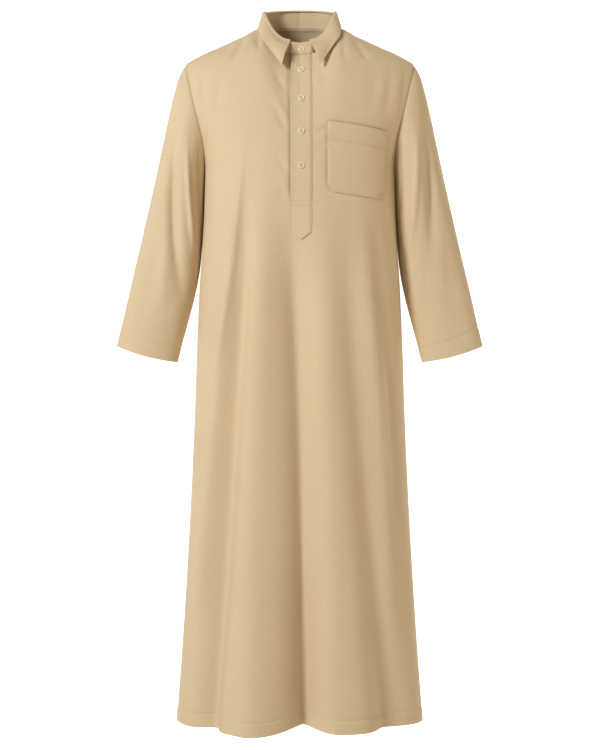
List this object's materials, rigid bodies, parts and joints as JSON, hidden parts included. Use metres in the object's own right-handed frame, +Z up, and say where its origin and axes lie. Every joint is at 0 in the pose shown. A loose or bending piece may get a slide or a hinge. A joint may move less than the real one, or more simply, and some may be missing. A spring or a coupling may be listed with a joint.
{
  "type": "men's thobe in its worn form",
  "caption": "Long straight robe with a turned-down shirt collar, a buttoned half placket, a chest pocket and plain sleeves, hollow as worn.",
  "frame": {"origin": "between the shoulders, at the height where the shoulder meets the neck, where the wearer carries it", "axes": "+Z up, the front faces -Y, +X is the wearer's left"},
  "size_m": [0.7254, 0.3203, 1.4311],
  "materials": {
    "cloth": "tan poplin suiting, smooth, with a faint sheen",
    "button": "pale tan cast polyester, polished rim"
  },
  "bodies": {
    "root": {"front": "cloth", "back": "cloth", "yoke": "cloth", "sleeve_left": "cloth", "sleeve_right": "cloth", "collar_stand": "cloth", "collar_fall": "cloth", "placket": "cloth", "under_placket": "cloth", "pocket": "cloth", "button_collar": "button", "button_1": "button", "button_2": "button", "button_3": "button", "button_4": "button"}
  },
  "joints": []
}
